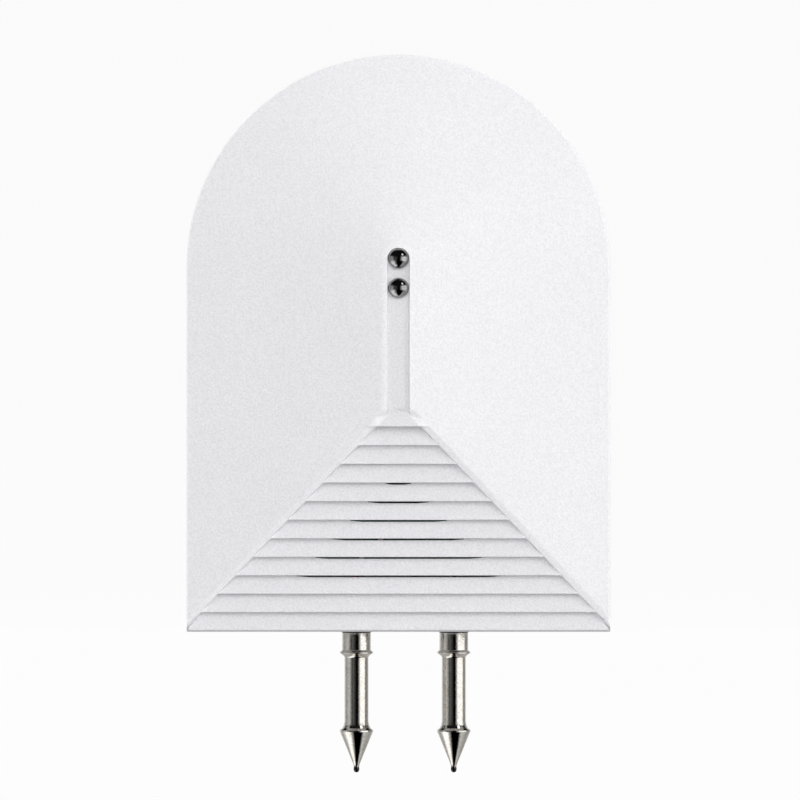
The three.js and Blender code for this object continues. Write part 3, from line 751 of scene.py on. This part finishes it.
    # Exact normals on the front, flat ones elsewhere where the surface turns sharply.
    co = np.array([v.co for v in mesh.vertices]) / MM
    key = {}
    for i, n in fixed.items():
        key[(round(verts[i][0], 4), round(verts[i][1], 4), round(verts[i][2], 4))] = n
    loop_normals = []
    for poly in mesh.polygons:
        c = poly.center / MM
        front = poly.normal.y < -0.02 and c.y < -5.5 and cover_front(np.array([c.x]), np.array([c.z]))[0] > c.y - 0.3
        ring = abs(poly.normal.y) < 0.01 and outline_distance(np.array([c.x]), np.array([c.z]))[0] < 0.01
        for li in poly.loop_indices:
            v = mesh.loops[li].vertex_index
            k = (round(co[v][0], 4), round(co[v][1], 4), round(co[v][2], 4))
            if k in key and not ring and (front or poly.normal.y <= 0) and co[v][1] < -5.3:
                loop_normals.append(key[k])
            elif ring:
                px, pz = co[v][0], co[v][2]
                if pz > ARCH_Z:
                    d = math.hypot(px, pz - ARCH_Z)
                    loop_normals.append((px / d, 0.0, (pz - ARCH_Z) / d))
                else:
                    loop_normals.append(tuple(poly.normal))
            else:
                loop_normals.append(tuple(poly.normal))
    mesh.normals_split_custom_set(loop_normals)
    return obj


cover = build_cover()
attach(cover, "housing")
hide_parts("front_cover")

# ------------------------------------------------------------------ probes and seals

for side, x in PROBES.items():
    profile = [
        (0.0, -23.72), (0.2, -23.69), (0.37, -23.56), (0.47, -23.34), (0.49, -23.1), (0.46, -22.86), (0.43, -22.7),
        (0.57, -22.25), (2.8, -16.86), (2.8, -16.62), (2.36, -16.3), (2.12, -15.8), (2.0, -15.2),
        (2.0, -4.5), (2.16, -4.28), (2.8, -3.82), (2.8, -3.66), (2.4, -3.3), (2.4, -0.35), (1.5, -0.35),
        (1.5, 7.2), (1.2, 7.6), (0.0, 7.6),
    ]
    profile = rounded(profile, {7: 0.3, 8: 0.12, 9: 0.12, 10: 0.2, 11: 0.3, 12: 0.4, 13: 0.25, 14: 0.2, 15: 0.08, 16: 0.08, 17: 0.12, 18: 0.08}, 4)
    probe = lathe(f"probe_{side}_turned", profile, (x, 0.0), "z", nickel, 96)
    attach(probe, "housing")
    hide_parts(f"probe_{side}")
    ring = [(1.62, -0.2), (1.75, -0.33), (2.5, -0.33), (2.68, -0.26), (2.75, -0.1), (2.75, 0.7), (2.6, 0.88), (1.75, 0.88), (1.62, 0.75), (1.62, -0.2)]
    seal = lathe(f"seal_{side}_ring", ring, (x, 0.0), "z", seal_rubber, 72)
    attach(seal, "housing")
    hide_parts(f"probe_seal_{side}")

# ------------------------------------------------------------------ front contacts

for place, z in zip(("upper", "lower"), CONTACT_Z):
    head = [(0.0, -21.95)]
    wide = math.radians(66)
    for i in range(1, 19):
        a = i / 18 * wide
        head.append((1.66 * math.sin(a) / math.sin(wide), -20.85 - 1.1 * (math.cos(a) - math.cos(wide)) / (1 - math.cos(wide))))
    head += [(1.66, -20.82), (1.66, -20.6), (1.66, -20.44), (1.0, -20.44), (1.0, -15.8), (0.8, -15.5), (0.0, -15.5)]
    dome = lathe(f"contact_{place}_dome", head, (0.0, z), "y", dome_metal, 72)
    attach(dome, "housing")
    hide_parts(f"front_contact_{place}")

# ------------------------------------------------------------------ materials of the remaining nodes

cell_left = cell_material("cell_sleeve_left", 16.4, 60.9, 0.72, (0.02, 0.09, 0.13), (0.55, 0.3, 0.06))
cell_right = cell_material("cell_sleeve_right", 16.4, 60.9, 0.28, (0.55, 0.3, 0.06), (0.02, 0.09, 0.13))

by_name = {
    "rear_housing": white_rear,
    "battery_door": white_rear,
    "learn_button_cap": button_plastic,
    "switch_body": black_plastic,
    "switch_plunger": black_plastic,
    "piezo_buzzer": black_plastic,
    "microcontroller": black_plastic,
    "circuit_board": board_green,
    "rf_module_board": board_blue,
    "rf_shield_can": can_metal,
    "clock_crystal": can_metal,
    "reservoir_capacitor": can_metal,
    "coil_antenna": copper,
    "battery_left": cell_left,
    "battery_right": cell_right,
    "battery_contact_negative": spring_metal,
    "battery_contact_positive": spring_metal,
    "battery_contact_bridge": spring_metal,
    "probe_wire_left": wire_red,
    "probe_wire_right": wire_black,
    "front_cover": white_shell,
    "probe_left": nickel,
    "probe_right": nickel,
    "probe_seal_left": seal_rubber,
    "probe_seal_right": seal_rubber,
    "front_contact_upper": dome_metal,
    "front_contact_lower": dome_metal,
}
for name, obj in nodes.items():
    if name in by_name:
        chosen = by_name[name]
    elif "screw" in name or "nut" in name:
        chosen = screw_metal
    elif "spring" in name:
        chosen = spring_metal
    else:
        chosen = tinned
    if not obj.material_slots:
        obj.data.materials.append(chosen.mat)
    for s in obj.material_slots:
        s.material = chosen.mat

# ------------------------------------------------------------------ stage: floor and backdrop, one sweep


EYE = (0.00025, -(132.08 * 250.0 / 36.0 + 8.0) * MM, 0.0383)  # the camera's place
FLOOR_Z = -0.054  # clear of the battery door when it is slid right down


def build_sweep():
    rows = [(-2.6, 0.0), (1.3, 0.0)]
    for i in range(1, 49):
        a = i / 48 * math.pi / 2
        rows.append((1.3 + 0.5 * math.sin(a), 0.5 - 0.5 * math.cos(a)))
    rows.append((1.8, 2.6))
    verts = [(x, y, z + FLOOR_Z) for y, z in rows for x in (-2.6, 2.6)]
    faces = [(2 * r, 2 * r + 1, 2 * r + 3, 2 * r + 2) for r in range(len(rows) - 1)]
    mesh = bpy.data.meshes.new("studio_sweep")
    mesh.from_pydata(verts, [], faces)
    mesh.update()
    mesh.polygons.foreach_set("use_smooth", [True] * len(mesh.polygons))
    obj = bpy.data.objects.new("studio_sweep", mesh)
    bpy.context.scene.collection.objects.link(obj)
    m = Mat("studio_paper")
    m.set(base=(0.02, 0.02, 0.02), rough=0.9, specular=0.05)
    m.bsdf.inputs["Emission Color"].default_value = (1.0, 1.0, 1.0, 1)
    m.bsdf.inputs["Emission Strength"].default_value = BACKDROP
    obj.data.materials.append(m.mat)
    obj.visible_diffuse = False
    obj.visible_glossy = False
    return obj


BACKDROP = 0.945
sweep = build_sweep()

# Studio cards, seen in the metal only: a dark room in front, a strip light at the right, pale walls behind.
AZIMUTH = np.array([-180, -140, -118, -87, -74, -63, -52, -41, -31, -21, -12, 0, 14, 22, 31, 40, 86, 99, 113, 130, 164, 180.0])
LEVEL = np.array([1.0, 0.8, 0.37, 0.57, 0.65, 0.51, 0.24, 0.07, 0.14, 0.07, 0.04, 0.0, 0.0, 0.22, 0.78, 1.5, 1.5, 0.64, 0.2, 0.42, 0.84, 1.0])
AZIMUTH_LOW = np.array([-180, -150, -120, -100, -88, -56, -38, -20, 0, 44, 54, 64, 110, 150, 180.0])
LEVEL_LOW = np.array([0.6, 0.5, 0.5, 0.85, 1.6, 1.5, 0.45, 0.0, 0.0, 0.0, 0.3, 0.72, 0.42, 0.5, 0.6])


def studio_light(azimuth, elevation):
    level = np.interp(azimuth, AZIMUTH, LEVEL)
    low = np.interp(azimuth, AZIMUTH_LOW, LEVEL_LOW)
    k = np.clip((-elevation - 12) / 12, 0, 1)
    level = level * (1 - k) + low * k
    k = np.clip((elevation - 14) / 14, 0, 1)
    high = np.where(np.abs(azimuth) > 150, 0.25, 0.012)
    lamp = ((azimuth - 52) / 12) ** 2 + ((elevation - 42) / 9) ** 2 < 1
    high = np.where(lamp, 2.2, high)
    return level * (1 - k) + high * k


def build_cards():
    lon, lat = 180, 90
    verts, values, faces = [], [], []
    for j in range(lat + 1):
        el = -90 + 180 * j / lat
        for i in range(lon):
            az = -180 + 360 * i / lon
            c = math.cos(math.radians(el))
            verts.append((1.5 * c * math.sin(math.radians(az)), -1.5 * c * math.cos(math.radians(az)), 1.5 * math.sin(math.radians(el)) + 0.03))
            values.append(float(studio_light(np.array(az), np.array(el))))
    for j in range(lat):
        for i in range(lon):
            k = (i + 1) % lon
            faces.append((j * lon + i, j * lon + k, (j + 1) * lon + k, (j + 1) * lon + i))
    mesh = bpy.data.meshes.new("studio_cards")
    mesh.from_pydata(verts, [], faces)
    mesh.update()
    level = mesh.attributes.new("level", "FLOAT", "POINT")
    level.data.foreach_set("value", values)
    obj = bpy.data.objects.new("studio_cards", mesh)
    bpy.context.scene.collection.objects.link(obj)
    mat = bpy.data.materials.new("studio_cards")
    mat.use_nodes = True
    t = mat.node_tree
    t.nodes.clear()
    out = t.nodes.new("ShaderNodeOutputMaterial")
    em = t.nodes.new("ShaderNodeEmission")
    at = t.nodes.new("ShaderNodeAttribute")
    at.attribute_name = "level"
    t.links.new(at.outputs["Fac"], em.inputs["Strength"])
    t.links.new(em.outputs["Emission"], out.inputs["Surface"])
    mesh.materials.append(mat)
    obj.visible_camera = False
    obj.visible_diffuse = False
    obj.visible_shadow = False
    obj.visible_transmission = False
    obj.visible_volume_scatter = False
    return obj


build_cards()

# ------------------------------------------------------------------ light

world = bpy.data.worlds.new("studio")
bpy.context.scene.world = world
world.use_nodes = True
bg = world.node_tree.nodes["Background"]
bg.inputs["Color"].default_value = (0.985, 0.985, 1.0, 1)
bg.inputs["Strength"].default_value = 0.52


def area_light(name, place, target, size, power, colour=(1, 1, 1)):
    data = bpy.data.lights.new(name, "AREA")
    data.shape = "DISK"
    data.size = size
    data.energy = power
    data.color = colour
    obj = bpy.data.objects.new(name, data)
    bpy.context.scene.collection.objects.link(obj)
    obj.location = place
    obj.rotation_euler = (Vector(target) - Vector(place)).to_track_quat("-Z", "Y").to_euler()
    obj.visible_glossy = False
    obj.visible_camera = False
    return obj


area_light("front", (0.0, -1.26, 0.40), (0, 0, 0.045), 1.3, 9.8)
area_light("key", (0.92, -0.67, 0.22), (0, 0, 0.045), 0.5, 2.8)
area_light("rim_left", (-1.0, 0.42, 0.12), (0, 0, 0.045), 0.4, 7.5)
area_light("rim_right", (1.0, 0.42, 0.12), (0, 0, 0.045), 0.4, 5.0)
area_light("rim_top", (0.0, 0.42, 1.05), (0, 0, 0.045), 0.4, 5.0)

# ------------------------------------------------------------------ camera

LENS, SENSOR, FRAME_MM = 250.0, 36.0, 132.08
camera_data = bpy.data.cameras.new("camera")
camera_data.lens = LENS
camera_data.sensor_width = SENSOR
camera_data.clip_start = 0.01
camera_data.clip_end = 20
camera = bpy.data.objects.new("camera", camera_data)
bpy.context.scene.collection.objects.link(camera)
camera.location = EYE
camera.rotation_euler = (math.pi / 2, 0, 0)
bpy.context.scene.camera = camera

bpy.context.scene.view_settings.view_transform = "Standard"
bpy.context.scene.view_settings.look = "None"

bpy.context.view_layer.update()
